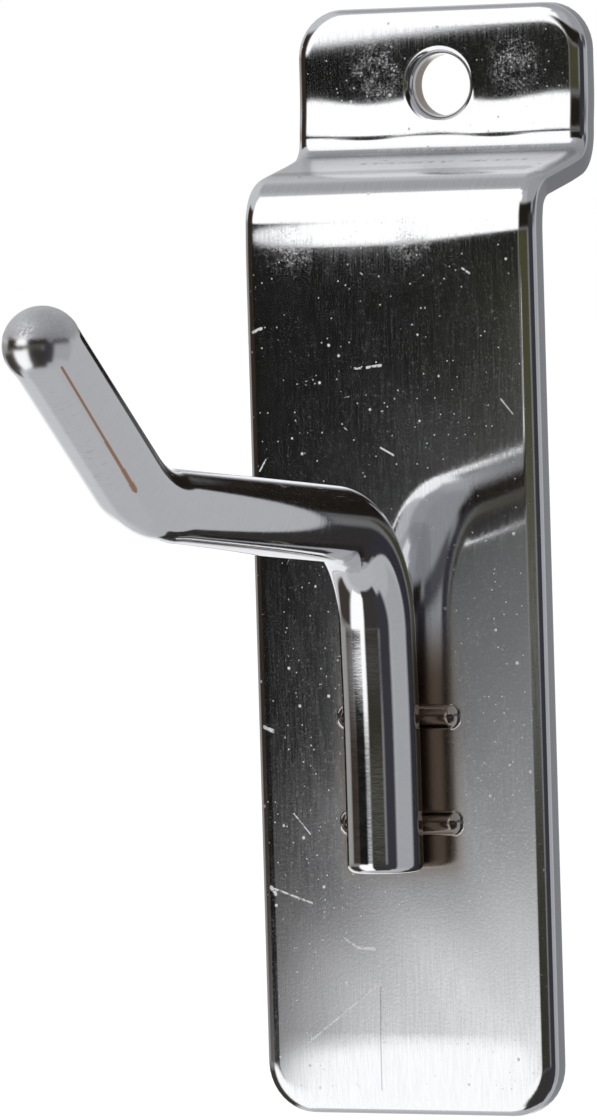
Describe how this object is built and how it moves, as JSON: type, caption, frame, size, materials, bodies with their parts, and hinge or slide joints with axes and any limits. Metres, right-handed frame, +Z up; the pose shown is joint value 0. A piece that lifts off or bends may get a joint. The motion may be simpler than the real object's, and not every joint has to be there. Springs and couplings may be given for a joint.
{
  "type": "slatwall hook",
  "caption": "Chromed slatwall hook: a folded steel back plate with a slot tab and a bent round wire arm welded to its front.",
  "frame": {"origin": "middle of the back face of the flat back plate, on the surface of the wall panel", "axes": "+Z up along the plate, +Y into the wall, so the arm reaches towards -Y, and +X to the right seen from the front"},
  "size_m": [0.0254, 0.0746, 0.0878],
  "materials": {
    "plate_chrome": "bright chrome plating over brushed steel sheet, with fine pits and scratches",
    "wire_chrome": "bright chrome plating over drawn steel wire, with draw lines and a copper-brown streak"
  },
  "bodies": {
    "root": {"back_plate": "plate_chrome", "hook_rod": "wire_chrome"}
  },
  "joints": []
}
